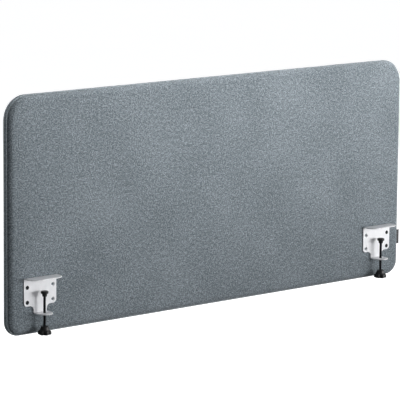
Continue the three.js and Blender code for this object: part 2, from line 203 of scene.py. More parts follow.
def fill(loops, spots=(), rows=(), holes=()):
    """Triangles inside the first loop and outside the holes, each (centre, radius). rows
    are chains of points that become edges."""
    points = [tuple(p) for loop in loops for p in loop]
    edges, start = [], 0
    for loop in loops:
        edges += [(start + i, start + (i + 1) % len(loop)) for i in range(len(loop))]
        start += len(loop)
    for row in rows:
        edges += [(len(points) + i, len(points) + i + 1) for i in range(len(row) - 1)]
        points += [tuple(p) for p in row]
    points += [tuple(p) for p in spots]
    found, _, triangles, origins, _, _ = delaunay_2d_cdt(
        [Vector(p) for p in points], edges, [], 1, 1e-4)
    flat = np.array([tuple(p) for p in found])
    place = {source: i for i, sources in enumerate(origins) for source in sources}
    middles = np.array([flat[list(t)].mean(0) for t in triangles])
    kept = np.ones(len(triangles), bool)
    for centre, radius in holes:
        kept &= np.linalg.norm(middles - centre, axis=1) > radius
    return flat, [t for t, keep in zip(triangles, kept) if keep], place


def circle(x, z, radius, count):
    """Points round a circle, anticlockwise."""
    angle = np.arange(count) * TAU / count
    return np.stack([x + radius * np.cos(angle), z + radius * np.sin(angle)], axis=1)


def arc(x, z, radius, start, end, count):
    """The ends of count equal steps along an arc, between two angles in degrees."""
    angle = np.radians(np.linspace(start, end, count + 1))
    return np.stack([x + radius * np.cos(angle), z + radius * np.sin(angle)], axis=1)


# ---------------------------------------------------------------- materials

class Graph:
    """A material and short names for adding nodes to it."""

    def __init__(self, name):
        self.material = bpy.data.materials.new(name)
        self.material.use_nodes = True
        self.tree = self.material.node_tree
        self.shader = self.tree.nodes["Principled BSDF"]

    def node(self, kind, inputs=(), output=0, **settings):
        """Adds a node, sets or links its inputs, and returns one of its outputs."""
        node = self.tree.nodes.new(kind)
        for name, value in settings.items():
            setattr(node, name, value)
        for name, value in dict(inputs).items():
            self.feed(node.inputs[name], value)
        return node.outputs[output]

    def feed(self, socket, value):
        """Links an output to the socket, or sets the socket's own value."""
        if isinstance(value, bpy.types.NodeSocket):
            self.tree.links.new(value, socket)
        else:
            socket.default_value = value

    def math(self, operation, *values):
        return self.node("ShaderNodeMath", enumerate(values), operation=operation)

    def spread(self, value, low, high, to_low=0.0, to_high=1.0):
        return self.node("ShaderNodeMapRange", {
            "Value": value, "From Min": low, "From Max": high,
            "To Min": to_low, "To Max": to_high})

    def noise(self, vector, scale, detail=3.0, roughness=0.5, distortion=0.0):
        return self.node("ShaderNodeTexNoise", {
            "Vector": vector, "Scale": scale, "Detail": detail,
            "Roughness": roughness, "Distortion": distortion})

    def stretched(self, vector, scale, turn=0.0):
        return self.node("ShaderNodeMapping", {
            "Vector": vector, "Scale": scale, "Rotation": (0, 0, turn)})

    def blend(self, share, a, b):
        return self.node("ShaderNodeMix", {0: share, 6: a, 7: b}, 2, data_type="RGBA")

    def ramp(self, value, *stops):
        node = self.tree.nodes.new("ShaderNodeValToRGB")
        self.feed(node.inputs[0], value)
        elements = node.color_ramp.elements
        while len(elements) < len(stops):
            elements.new(0.5)
        for element, (place, colour) in zip(elements, stops):
            element.position = place
            element.color = (*colour, 1)
        return node.outputs[0]

    def bump(self, height, distance, strength=1.0, under=None):
        inputs = {"Height": height, "Distance": distance, "Strength": strength}
        if under is not None:
            inputs["Normal"] = under
        return self.node("ShaderNodeBump", inputs)

    def finish(self, colour, roughness, normal, **fixed):
        """Connects the shader. Values that don't vary are set on its own sockets."""
        self.feed(self.shader.inputs["Base Color"], colour)
        self.feed(self.shader.inputs["Roughness"], roughness)
        self.feed(self.shader.inputs["Normal"], normal)
        for name, value in fixed.items():
            self.shader.inputs[name.replace("_", " ")].default_value = value
        return self.material


THREAD_PITCH = 1.5
COLOUR_SPAN = 0.24  # how far the wool's tone is from its middle at its darkest and lightest


def woven(name, dark, mid, light, turn=0.0):
    """Plain-woven melange wool, from the unfolded cloth's own coordinates, with painted shade in
    the hollows between its threads.
    """
    g = Graph(name)
    cloth = g.node("ShaderNodeUVMap", uv_map="cloth")
    drift = g.node("ShaderNodeTexNoise", {"Vector": cloth, "Scale": 190.0, "Detail": 2.0}, 1)
    wander = g.node("ShaderNodeVectorMath", {0: drift, 1: (0.5, 0.5, 0.5)}, operation="SUBTRACT")
    wander = g.node("ShaderNodeVectorMath", {0: wander, 1: (0.0016,) * 3}, operation="MULTIPLY")
    threads = g.node("ShaderNodeVectorMath", {0: cloth, 1: wander}, operation="ADD")
    threads = g.stretched(threads, (1000 / THREAD_PITCH,) * 3, turn)
    parts = g.tree.nodes.new("ShaderNodeSeparateXYZ")
    g.feed(parts.inputs[0], threads)
    over = []
    for along, across, side in ((1, 0, 1), (0, 1, -1)):
        place = parts.outputs[across]
        thread = g.math("FLOOR", place)
        offset = g.math("SUBTRACT", g.math("FRACT", place), 0.5)
        round_top = g.math("SQRT", g.math("SUBTRACT", 1.0, g.math(
            "MULTIPLY", 3.6, g.math("MULTIPLY", offset, offset))))
        phase = g.math("ADD", g.math("SUBTRACT", parts.outputs[along], 0.5), thread)
        rise = g.math("MULTIPLY", side * 0.5, g.math(
            "COSINE", g.math("MULTIPLY", math.pi, phase)))
        over.append(g.math("ADD", rise, g.math("MULTIPLY", 0.6, round_top)))
    # The threads' height: it drives the bump and the roughness, and it is also painted shade in
    # the colour.
    weave = g.math("MAXIMUM", *over)
    is_weft = g.math("GREATER_THAN", over[1], over[0])

    warp_fibres = g.noise(g.stretched(cloth, (620, 90, 1), turn), 1.0, 3.0)
    weft_fibres = g.noise(g.stretched(cloth, (90, 620, 1), turn), 1.0, 3.0)
    fibres = g.node("ShaderNodeMix", {0: is_weft, 2: warp_fibres, 3: weft_fibres},
                    data_type="FLOAT")
    flecks = g.noise(cloth, 250.0, 2.0, 0.6)
    slubs = g.noise(cloth, 95.0, 2.0)
    clouds = g.noise(cloth, 5.0, 3.0, 0.55)
    # Each part of the tone as its weight, its texture and that texture's usual value. The
    # weave's height is painted shade: the tops of the threads are lighter and the hollows
    # between them darker.
    mixture = ((0.45, fibres, 0.5), (0.9, flecks, 0.5), (0.25, slubs, 0.5),
               (0.14, weave, 0.7), (0.16, clouds, 0.5))
    tone = 0.0
    for weight, texture, _ in mixture:
        tone = g.math("ADD", tone, g.math("MULTIPLY", weight, texture))
    middle = sum(weight * usual for weight, _, usual in mixture)
    share = g.spread(tone, middle - COLOUR_SPAN, middle + COLOUR_SPAN)
    colour = g.ramp(share, (0.0, dark), (0.5, mid), (1.0, light))
    rough = g.spread(weave, 0.0, 1.1, 0.95, 0.78)
    fuzz = g.noise(cloth, 900.0, 2.0)
    normal = g.bump(weave, 0.00035, 0.8)
    normal = g.bump(fuzz, 0.0003, 0.5, normal)
    return g.finish(colour, rough, normal, Sheen_Weight=0.25, Sheen_Roughness=0.45,
                    Specular_IOR_Level=0.2)


def ribbon_cloth():
    """Black satin ribbon with fine ribs across it."""
    g = Graph("ribbon_cloth")
    cloth = g.node("ShaderNodeUVMap", uv_map="cloth")
    ribs = g.node("ShaderNodeTexWave", {
        "Vector": g.stretched(cloth, (1, 3.2, 1)), "Scale": 260.0, "Distortion": 0.6,
        "Detail": 1.0}, bands_direction="Y")
    threads = g.noise(g.stretched(cloth, (3000, 260, 1)), 1.0, 2.0)
    colour = g.ramp(g.math("ADD", g.math("MULTIPLY", ribs, 0.5), g.math(
        "MULTIPLY", threads, 0.5)), (0.15, (0.004, 0.004, 0.005)), (0.95, (0.02, 0.02, 0.023)))
    rough = g.spread(threads, 0.3, 0.7, 0.45, 0.7)
    return g.finish(colour, rough, g.bump(ribs, 0.00012, 0.7), Sheen_Weight=0.15)


def fibrous(name, dark, light, scale, distance):
    """A mat of fibres, for wadding and pressed felt."""
    g = Graph(name)
    place = g.node("ShaderNodeTexCoord", output=3)
    tufts = g.noise(place, scale, 5.0, 0.65, 0.8)
    strands = g.noise(g.stretched(place, (1, 1, 5)), scale * 4, 3.0, 0.6, 2.0)
    share = g.math("ADD", g.math("MULTIPLY", 0.6, tufts), g.math("MULTIPLY", 0.4, strands))
    colour = g.ramp(share, (0.3, dark), (0.7, light))
    normal = g.bump(share, distance, 0.9)
    return g.finish(colour, g.spread(tufts, 0.3, 0.7, 0.9, 1.0), normal, Sheen_Weight=0.3)


def timber():
    """Planed softwood with its grain along X."""
    g = Graph("timber_grain")
    place = g.node("ShaderNodeTexCoord", output=3)
    rings = g.node("ShaderNodeTexWave", {
        "Vector": g.stretched(place, (0.12, 1, 1)), "Scale": 34.0, "Distortion": 5.0,
        "Detail": 3.0, "Detail Scale": 1.6}, bands_direction="Z")
    pores = g.noise(g.stretched(place, (30, 900, 900)), 1.0, 3.0)
    share = g.math("ADD", g.math("MULTIPLY", 0.7, rings), g.math("MULTIPLY", 0.3, pores))
    colour = g.ramp(share, (0.1, (0.42, 0.27, 0.13)), (0.9, (0.68, 0.5, 0.3)))
    return g.finish(colour, g.spread(pores, 0.3, 0.7, 0.55, 0.8), g.bump(share, 0.0002, 0.6))


def powder_coat():
    """White powder coat: fine orange peel, faint dust, and thinner at worn edges."""
    g = Graph("powder_coat")
    place = g.node("ShaderNodeTexCoord", output=3)
    peel = g.noise(place, 1300.0, 2.0, 0.5)
    waves = g.noise(place, 240.0, 2.0)
    dust = g.noise(place, 60.0, 4.0, 0.6)
    edge = g.node("ShaderNodeAttribute", output=2, attribute_name="edge")
    worn = g.math("MULTIPLY", edge, g.spread(g.noise(place, 180.0, 4.0, 0.7), 0.52, 0.66))
    colour = g.ramp(dust, (0.25, (0.76, 0.765, 0.785)), (0.75, (0.85, 0.853, 0.87)))
    colour = g.blend(worn, colour, (0.55, 0.56, 0.58, 1))
    rough = g.math("ADD", g.spread(dust, 0.3, 0.7, 0.34, 0.46), g.math("MULTIPLY", worn, 0.15))
    normal = g.bump(waves, 0.0002, 0.35)
    normal = g.bump(peel, 0.00008, 0.6, normal)
    return g.finish(colour, rough, normal, Coat_Weight=0.12, Coat_Roughness=0.3)


def bare_metal(name, dark, light, roughness):
    """Plated or blackened steel with fine turning marks and slight staining."""
    g = Graph(name)
    place = g.node("ShaderNodeTexCoord", output=3)
    marks = g.noise(g.stretched(place, (300, 300, 4000)), 1.0, 2.0)
    stains = g.noise(place, 120.0, 4.0, 0.6)
    share = g.math("ADD", g.math("MULTIPLY", 0.4, marks), g.math("MULTIPLY", 0.6, stains))
    colour = g.ramp(share, (0.3, dark), (0.7, light))
    rough = g.spread(stains, 0.3, 0.7, roughness - 0.08, roughness + 0.1)
    return g.finish(colour, rough, g.bump(marks, 0.00003, 0.6), Metallic=0.85)


def black_plastic():
    """Moulded black plastic with a fine spark-eroded texture and handling marks."""
    g = Graph("moulded_plastic")
    place = g.node("ShaderNodeTexCoord", output=3)
    grain = g.noise(place, 2200.0, 2.0)
    rubs = g.noise(place, 70.0, 5.0, 0.65)
    colour = g.ramp(rubs, (0.3, (0.006, 0.006, 0.007)), (0.75, (0.017, 0.016, 0.016)))
    rough = g.spread(rubs, 0.35, 0.7, 0.36, 0.58)
    return g.finish(colour, rough, g.bump(grain, 0.00006, 0.7), Specular_IOR_Level=0.45)


COVER = woven("cover_wool", (0.040, 0.050, 0.056), (0.142, 0.170, 0.189), (0.36, 0.40, 0.43))
WELT = woven("piping_wool", (0.080, 0.098, 0.108), (0.22, 0.26, 0.28), (0.44, 0.49, 0.52),
             turn=math.pi / 4)
RIBBON_CLOTH = ribbon_cloth()
WADDING = fibrous("white_wadding", (0.62, 0.61, 0.57), (0.86, 0.85, 0.82), 160.0, 0.0008)
FELT = fibrous("grey_felt", (0.14, 0.14, 0.14), (0.36, 0.36, 0.35), 220.0, 0.0006)
TIMBER = timber()
POWDER_COAT = powder_coat()
BLACK_STEEL = bare_metal("black_oxide", (0.008, 0.008, 0.009), (0.03, 0.03, 0.033), 0.38)
ZINC = bare_metal("zinc_plating", (0.42, 0.43, 0.45), (0.62, 0.63, 0.64), 0.34)
BLACK_PLASTIC = black_plastic()

# ---------------------------------------------------------------- the covers

EDGE_STATIONS = 12
SEAM_SIDE = PIPING["radius"] + PIPING["clear"]
# How far round the edge from its face each half's cloth reaches, in radians.
LAST_ANGLE = {True: math.acos((SEAM_SIDE - PIPING_Y) / HALF),
              False: math.acos((SEAM_SIDE + PIPING_Y) / HALF)}

# The relief of the cloth: each height, and the lengths over which it comes or goes.
CROWN = {"height": 0.5, "depths": (34, 150)}
SWELL = {"height": 0.45, "across": 170, "up": 150, "edge_share": 0.35, "depth": 60}
RIPPLE = {"height": 0.12, "size": 48}
PUCKER = {"height": 0.5, "size": 17, "reach": 16}  # beside the seam
SEAM_PULL = {"height": 0.6, "reach": 4.5}
DRAWN_IN = {"height": 2.5, "depth": 36, "run": 50, "right_share": 0.25,
            "rim_share": 0.7, "rim_run": 14}  # the front's edge, least at the right
REAR_EDGE = {"height": 1.2, "run": 12, "rim_run": 7}  # stands out a little further
PLATE = {"under": 0.15, "rise": 18, "lip": 0.35, "lip_start": 10, "lip_run": 30}


def spine(spacing=9.0):
    """Points round the panel, HALF inside its outline, and the outward direction at each."""
    half = WIDTH / 2 - HALF
    corner_step = 3.5
    points, out = [], []

    def add_straight(place):
        """Adds the points between the last one and this place."""
        last, facing = points[-1], out[-1]
        steps = math.ceil(np.linalg.norm(place - last) / spacing)
        for share in np.linspace(0, 1, steps + 1)[1:-1]:
            points.append(last + (place - last) * share)
            out.append(facing)

    for sign_x, sign_z, corner, start in (
            (1, -1, BOTTOM_CORNER, -90), (1, 1, TOP_CORNER, 0),
            (-1, 1, TOP_CORNER, 90), (-1, -1, BOTTOM_CORNER, 180)):
        radius = corner - HALF
        level = HALF if sign_z < 0 else HEIGHT - HALF
        turn = arc(0, 0, 1, start, start + 90, math.ceil(radius / corner_step))
        corner_points = turn * radius + [sign_x * (half - radius), level - sign_z * radius]
        if points:
            add_straight(corner_points[0])
        points += list(corner_points)
        out += list(turn)
    add_straight(points[0])
    return np.array(points), np.array(out)


def between(low, share):
    """A gentle rise from low to 1."""
    return low + (1 - low) * smooth(share)


def from_plate(x, z):
    """How far a point of the front is outside the nearer bracket's plate and neck."""
    across = abs(abs(x) - BRACKET_X)
    far = []
    for half, low, high in ((SHEET["half"], SHEET["shoulder"], SHEET["top"]),
                            (SHEET["neck"], SHEET["bottom"], SHEET["shoulder"])):
        outside = (max(across - half, 0), max(low - z, z - high, 0))
        far.append(math.hypot(*outside))
    return min(far)


def inset(x, z):
    """How far a point of the unfolded cloth is inside the spine, negative outside it."""
    corner = (TOP_CORNER if z > HEIGHT / 2 else BOTTOM_CORNER) - HALF
    across = abs(x) - (WIDTH / 2 - HALF - corner)
    along = abs(z - HEIGHT / 2) - (HEIGHT / 2 - HALF - corner)
    outside = math.hypot(max(across, 0), max(along, 0))
    return corner - outside - min(max(across, along), 0)


def relief(x, z, front):
    """How far the cloth stands out from its plain surface, at a point of the cloth."""
    deep = inset(x, z)
    to_rim = HALF * LAST_ANGLE[front] + deep
    seed = 3.0 if front else 11.0
    waves = SWELL["height"] * noise.noise(
        Vector((x / SWELL["across"], z / SWELL["up"], seed)))
    waves += RIPPLE["height"] * uneven(x, z, RIPPLE["size"], seed + 5)
    height = sum(CROWN["height"] * smooth(deep / depth) for depth in CROWN["depths"])
    height += waves * between(SWELL["edge_share"], deep / SWELL["depth"])
    height += (PUCKER["height"] * smooth(1 - to_rim / PUCKER["reach"])
               * uneven(x, z, PUCKER["size"], seed + 9))
    height -= SEAM_PULL["height"] * smooth(1 - to_rim / SEAM_PULL["reach"])
    if not front:
        return height + (REAR_EDGE["height"] * smooth(-deep / REAR_EDGE["run"])
                         * smooth(to_rim / REAR_EDGE["rim_run"]))
    height -= (DRAWN_IN["height"] * between(DRAWN_IN["right_share"], 0.5 - x / WIDTH)
               * smooth((DRAWN_IN["depth"] - deep) / DRAWN_IN["run"])
               * between(DRAWN_IN["rim_share"], to_rim / DRAWN_IN["rim_run"]))
    away = from_plate(x, z)
    free = smooth(away / PLATE["rise"])
    lip = PLATE["lip"] * free * (1 - smooth((away - PLATE["lip_start"]) / PLATE["lip_run"]))
    return PLATE["under"] * (1 - free) + height * free + lip


def face_spots(front, holes):
    """Points to carry the face's relief, closer together round the brackets."""
    spacing, every = 4.0, 3
    margin, near_plate, off_hole, off_spine = 6, 32, 1.5, 4
    spots = []
    half, low, high = WIDTH / 2 - HALF, HALF, HEIGHT - HALF
    for column, x in enumerate(np.arange(-half + margin, half, spacing)):
        for row, z in enumerate(np.arange(low + margin, high, spacing)):
            coarse = column % every == 0 and row % every == 0
            if not coarse and not (front and from_plate(x, z) < near_plate):
                continue
            clear = all(math.hypot(x - c[0], z - c[1]) > r + off_hole for c, r in holes)
            if clear and inset(x, z) > off_spine:
                spots.append((x, z))
    return spots


def cloth_layout(front):
    """The cloth's points as (x, z), outward direction and angle round the edge, with its
    faces, its rims and its unfolded coordinates."""
    border, out = spine()
    holes = []
    if front:
        holes = [(np.array([side * (BRACKET_X + HOLE["x"]), z]), HOLE["cloth"])
                 for side in SIDES.values() for z in HOLE["heights"].values()]
    spots = face_spots(front, holes)
    rims = [circle(*centre, radius, 16) for centre, radius in holes]
    flat, triangles, place = fill([border, *rims], spots, holes=holes)
    count = len(border)

    rings = np.linspace(0, LAST_ANGLE[front], EDGE_STATIONS + 1)[1:]
    base = len(flat)
    at = [[place[i] for i in range(count)]]
    at += [[base + k * count + i for i in range(count)] for k in range(len(rings))]
    at = np.array(at)
    quads, _ = lattice(len(at), count)
    faces = [list(t) for t in triangles] + [list(q) for q in at.ravel()[quads][:, ::-1]]

    xz = np.concatenate([flat] + [border] * len(rings))
    outward = np.concatenate([np.zeros_like(flat)] + [out] * len(rings))
    outward[at[0]] = out
    angle = np.concatenate([np.zeros(len(flat))] + [np.full(count, a) for a in rings])
    loops, start = [at[-1]], count
    for rim in rims:
        loops.append(np.array([place[start + i] for i in range(len(rim))]))
        start += len(rim)
    unfolded = xz + outward * (HALF * angle)[:, None]
    return xz, outward, angle, faces, loops, unfolded


def layer(xz, outward, angle, reach, raised, side):
    """The layout's points on a surface at this reach from the spine."""
    reach = reach + raised
    flat = xz + outward * (reach * np.sin(angle))[:, None]
    return np.stack([flat[:, 0], -side * reach * np.cos(angle), flat[:, 1]], axis=1)


def soft_half(front):
    """The cloth and the wadding of one half of the panel."""
    name = "front" if front else "rear"
    side = 1 if front else -1
    xz, outward, angle, faces, loops, unfolded = cloth_layout(front)
    raised = np.array([relief(*place, front) for place in unfolded])
    flat = np.zeros(len(angle))

    def build(label, outer, inner, inner_raised, material, node):
        points, skin_faces = shell(layer(xz, outward, angle, outer, raised, side),
                                   layer(xz, outward, angle, inner, inner_raised, side),
                                   faces, loops)
        both = np.concatenate([unfolded, unfolded]) / 1000
        uv = np.concatenate([both[list(face)] for face in skin_faces])
        return mesh_object(label, points, skin_faces, "panel", material, [node], uv)

    cloth = build(f"{name}_cloth", HALF, HALF - CLOTH, raised, COVER,
                  f"{name}_cover")
    padding = build(f"{name}_padding", PADDING_OUTER, PADDING_INNER, flat, WADDING,
                    f"{name}_wadding")


def piping():
    """The cloth-covered cord in the seam, slightly uneven where it is stitched."""
    border, out = spine(6.0)
    sides = PIPING["sides"]
    turn = np.arange(sides) * TAU / sides
    rings = []
    for (x, z), direction in zip(border, out):
        pinch = 0.12 * uneven(x, z, 9, 21)
        sway = 0.18 * uneven(x, z, 60, 27)
        radius = PIPING["radius"] + pinch
        reach = PIPING_REACH + radius * np.cos(turn)
        flat = np.array([x, z]) + direction * reach[:, None]
        rings.append(np.stack([flat[:, 0], PIPING_Y + sway + radius * np.sin(turn),
                               flat[:, 1]], axis=1))
    quads, corners = lattice(len(rings), sides, wrap_rows=True)
    along = np.linalg.norm(np.roll(border, -1, axis=0) - border, axis=1)
    along = np.concatenate([[0], np.cumsum(along)]) / 1000
    girth = TAU * PIPING["radius"] / sides / 1000
    uv = np.stack([along[corners[..., 0]], corners[..., 1] * girth], axis=-1)
    mesh_object("piping", np.concatenate(rings), quads, "panel", WELT, ["edge_welt"],
                uv.reshape(-1, 2))


def ribbon_tab():
    """A short ribbon folded in the seam, its fold outwards."""
    fold, half = RIBBON["fold"], RIBBON["layer"] / 2
    end = RIBBON["end"] - fold - half
    run = np.linspace(RIBBON["start"], end, 8)
    path = [(x, -fold) for x in run[:-1]]
    path += [tuple(p) for p in arc(end, 0, fold, -90, 90, 8)]
    path += [(x, fold) for x in run[::-1][1:]]
    path = np.array(path)
    ahead = np.gradient(path, axis=0)
    normal = np.stack([ahead[:, 1], -ahead[:, 0]], axis=1)
    normal /= np.linalg.norm(normal, axis=1)[:, None]
    heights = np.linspace(RIBBON["low"], RIBBON["high"], 24)

    def face(offset):
        rows = []
        for z in heights:
            reach = (path[:, 0] - RIBBON["start"]) / (end - RIBBON["start"])
            sway = 0.12 * reach * noise.noise(Vector((z / 14, 4, 2)))
            x, y = (path + normal * offset).T
            rows.append(np.stack([x, y + PIPING_Y + sway, np.full(len(path), z)], axis=1))
        return np.concatenate(rows)

    rows, columns = len(heights), len(path)
    quads, _ = lattice(rows, columns, wrap_columns=False)
    grid = np.arange(rows * columns).reshape(rows, columns)
    rim = np.concatenate([grid[0, :-1], grid[:-1, -1], grid[-1, :0:-1], grid[:0:-1, 0]])
    points, faces = shell(face(half), face(-half), quads, [rim])
    length = np.concatenate([[0], np.cumsum(np.linalg.norm(np.diff(path, axis=0), axis=1))])
    spread = np.stack([np.tile(length, rows), np.repeat(heights, columns)], axis=1) / 1000
    both = np.concatenate([spread, spread])
    uv = np.concatenate([both[list(f)] for f in faces])
    tab = mesh_object("ribbon_tab", points, faces, "panel", RIBBON_CLOTH, ["label_tab"],
                      uv)


# ---------------------------------------------------------------- the brackets

BEND_LENGTH = SHEET["bend"] * math.pi / 2
BEND_STEPS = np.linspace(0, BEND_LENGTH, 9)
OUTER = SHEET["bend"] + SHEET["thickness"]
FLANGE_RUN = SHEET["flange"] - OUTER
PLATE_RUN = SHEET["top"] - SHEET["bottom"] - 2 * OUTER
TONGUE_RUN = SHEET["axis"] + SHEET["neck"] - OUTER
PLATE_START = FLANGE_RUN + BEND_LENGTH
TONGUE_START = PLATE_START + PLATE_RUN + BEND_LENGTH


def down(z):
    """How far down the flat blank a height of the plate is."""
    return PLATE_START + SHEET["top"] - OUTER - z


def fold(blank):
    """Bends the flat blank (across, down, deep) into the bracket's panel-space points."""
    across, along, deep = blank.T
    first = np.clip((along - FLANGE_RUN) / BEND_LENGTH, 0, 1) * math.pi / 2
    second = np.clip((along - PLATE_START - PLATE_RUN) / BEND_LENGTH, 0, 1) * math.pi / 2
    plate = np.clip(along - PLATE_START, 0, PLATE_RUN)
    tongue = np.maximum(along - TONGUE_START, 0)
    bend = SHEET["bend"]
    y = (SHEET["back"] - SHEET["flange"] + np.minimum(along, FLANGE_RUN)
         + bend * np.sin(first) - bend * (1 - np.cos(second)) - tongue)
    z = (SHEET["top"] - SHEET["thickness"] - bend * (1 - np.cos(first)) - plate
         - bend * np.sin(second))
    turned_by = first + second
    return np.stack([across, y + deep * np.sin(turned_by), z + deep * np.cos(turned_by)],
                    axis=1)


def blank_outline():
    """The flat blank's outline, anticlockwise in (across, down), with points at each
    row of the two bends."""
    s = SHEET
    corner, shoulder, fillet = s["flange_corner"], s["shoulder_corner"], s["neck_fillet"]
    upper_bend = [(s["half"], FLANGE_RUN + step) for step in BEND_STEPS]
    lower_bend = [(s["neck"], PLATE_START + PLATE_RUN + step) for step in BEND_STEPS]
    right = np.concatenate([
        arc(s["half"] - corner, corner, corner, -90, 0, 14),
        upper_bend,
        arc(s["half"] - shoulder, down(s["shoulder"] + shoulder), shoulder, 0, 90, 8),
        arc(s["neck"] + fillet, down(s["shoulder"] - fillet), fillet, 270, 180, 10),
        lower_bend,
        arc(0, TONGUE_START + s["axis"] - OUTER, s["neck"], 0, 90, 16),
    ])
    left = right[::-1] * [-1, 1]
    return np.concatenate([right, left[1:]])


def outward_normals(loop):
    """The direction out of an anticlockwise loop at each of its points."""
    edge = np.roll(loop, -1, axis=0) - loop
    edge /= np.linalg.norm(edge, axis=1)[:, None]
    both = edge + np.roll(edge, 1, axis=0)
    both /= np.linalg.norm(both, axis=1)[:, None]
    return np.stack([both[:, 1], -both[:, 0]], axis=1)


def rounded_rim():
    """The (offset, depth) stations round the edge of the sheet."""
    size, depth = SHEET["edge"], SHEET["thickness"]
    quarter = np.radians(np.linspace(0, 90, 4))
    front = [(-size * (1 - math.sin(a)), size * (1 - math.cos(a))) for a in quarter]
    return front + [(offset, depth - near) for offset, near in reversed(front)]


def sink_rim():
    """The same for a countersunk hole, from its rim to its back edge."""
    soft = 0.25
    taper = HOLE["rim"] - HOLE["back"]
    depth = SHEET["thickness"]
    return [(-soft, 0), (-soft * 0.3, soft * 0.3), (0, soft), (0, HOLE["rim_depth"]),
            (taper, depth - 0.2), (taper, depth)]


def bracket_edges():
    """The blank's outline, then its tapped hole and its four countersunk holes, each as
    its points, the direction off the metal there and its rim. Also the holes' middles."""
    outline = blank_outline()
    edges = [(outline, outward_normals(outline), rounded_rim())]
    tapped = (0, TONGUE_START + SHEET["axis"] - OUTER, ROD["radius"] + ROD["clear"])
    sinks = [(x, down(z), HOLE["rim"]) for x in (-HOLE["x"], HOLE["x"])
             for z in HOLE["heights"].values()]
    middles = []
    for (x, v, radius), rim in [(tapped, rounded_rim())] + [(h, sink_rim()) for h in sinks]:
        ring = circle(x, v, radius, 32)
        edges.append((ring, -outward_normals(ring), rim))
        middles.append(np.array([x, v]))
    return edges, middles


def bracket(name, side):
    """The bent sheet-metal bracket with its countersunk and tapped holes."""
    edges, middles = bracket_edges()
    points, faces, worn = [], [], []
    ends = []
    for ring, normal, rim in edges:
        start = len(points)
        for offset, depth in rim:
            points += [(*p, depth) for p in ring + normal * offset]
            worn += [1.0 if 0 < depth < SHEET["thickness"] else 0.0] * len(ring)
        quads, _ = lattice(len(rim), len(ring))
        faces += [tuple(start + q) for q in quads]
        ends.append((start, start + (len(rim) - 1) * len(ring), len(ring)))

    for which, depth in ((0, 0.0), (1, float(SHEET["thickness"]))):
        borders = [np.array(points[e[which]:e[which] + e[2]])[:, :2] for e in ends]
        rows = []
        for level in np.concatenate([FLANGE_RUN + BEND_STEPS,
                                     PLATE_START + PLATE_RUN + BEND_STEPS]):
            reach = SHEET["half"] if level < PLATE_START + 1 else SHEET["neck"]
            reach -= SHEET["edge"]
            rows.append([(x, level) for x in np.linspace(-reach, reach, 9)])
        open_holes = [(middle, np.linalg.norm(border[0] - middle))
                      for middle, border in zip(middles, borders[1:])]
        flat, triangles, place = fill(borders, rows=rows, holes=open_holes)
        index = {}
        source = 0
        for start_front, start_back, count in ends:
            for i in range(count):
                index[place[source]] = (start_front, start_back)[which] + i
                source += 1
        for i, p in enumerate(flat):
            if i not in index:
                index[i] = len(points)
                points.append((*p, depth))
                worn.append(0.0)
        faces += [tuple(index[i] for i in t) for t in triangles]

    placed = fold(np.array(points)) + [side * BRACKET_X, 0, 0]
    obj = mesh_object(f"{name}_clamp_plate", placed, faces, "panel", POWDER_COAT,
                      [f"{name}_bracket"])
    attribute = obj.data.attributes.new("edge", "FLOAT", "POINT")
    attribute.data.foreach_set("value", np.array(worn, np.float32))
    crisp(obj)


def hexagon(angle):
    """The reach of a hexagon one unit from its middle to its flats."""
    return 1 / np.cos((angle % (TAU / 6)) - TAU / 12)


def fixing_screw(name, level, x, z):
    """A countersunk screw with a hexagon socket."""
    f = FIXING
    sink = f["head"] - f["shank"]
    top = f["length"]
    points, faces = turned([
        (f["shank"] - f["point"], 0, 0, 0), (f["shank"], f["point"], 0, 0.1),
        (f["shank"], top - sink - f["rim"], 0, 0.4), (f["head"], top - f["rim"], 0, 0.1),
        (f["head"], top, 0, 0.25), (0, top, f["apothem"] + 0.3, 0.25),
        (0, top - 0.3, f["apothem"], 0.1), (0, top - f["socket"], f["apothem"], 0.1),
        (0.01, top - f["socket"] - 0.7, 0, 0),
    ], 48, hexagon)
    forward = np.stack([points[:, 0], -points[:, 2], points[:, 1]], axis=1)
    placed = forward + [x, f["face"] + top, z]
    crisp(mesh_object(f"{name}_{level}_socket_screw", placed, faces, "panel", BLACK_STEEL,
                      [f"{name}_{level}_fixing_screw"]))


# ---------------------------------------------------------------- the clamp screws

def rod(name, x):
    """The threaded rod, with a plain neck and tip inside the pad."""
    r = ROD
    sides, per_pitch = 24, 8
    angle = np.arange(sides) * TAU / sides
    rings = []
    for z in np.arange(r["low"], r["high"] + 1e-6, r["pitch"] / per_pitch):
        phase = (z / r["pitch"] - angle / TAU) % 1
        groove = np.clip(np.abs(phase - 0.5) * 2.4 - 0.35, 0, 1)
        ends = smooth((z - r["low"]) / r["run_out"]) * smooth((r["high"] - z) / r["run_out"])
        reach = r["radius"] - 0.05 - r["thread"] * (groove * ends + 0.9 * (1 - ends))
        rings.append((reach, np.full(sides, z)))
    for radius, z in ((r["neck"], r["high"] + 0.1), (r["neck"], r["high"] + r["neck_length"]),
                      (r["tip"], r["tip_low"]), (r["tip"], r["tip_high"] - r["bevel"]),
                      (r["tip"] - r["bevel"], r["tip_high"])):
        rings.append((np.full(sides, radius), np.full(sides, z)))
    stack = [np.stack([reach * np.cos(angle), reach * np.sin(angle), z], axis=1)
             for reach, z in rings]
    points, faces = skin(stack)
    crisp(mesh_object(f"{name}_threaded_rod", points + [x, AXIS_Y, 0], faces,
                      f"{name}_screw", BLACK_STEEL, [f"{name}_clamp_screw"]))


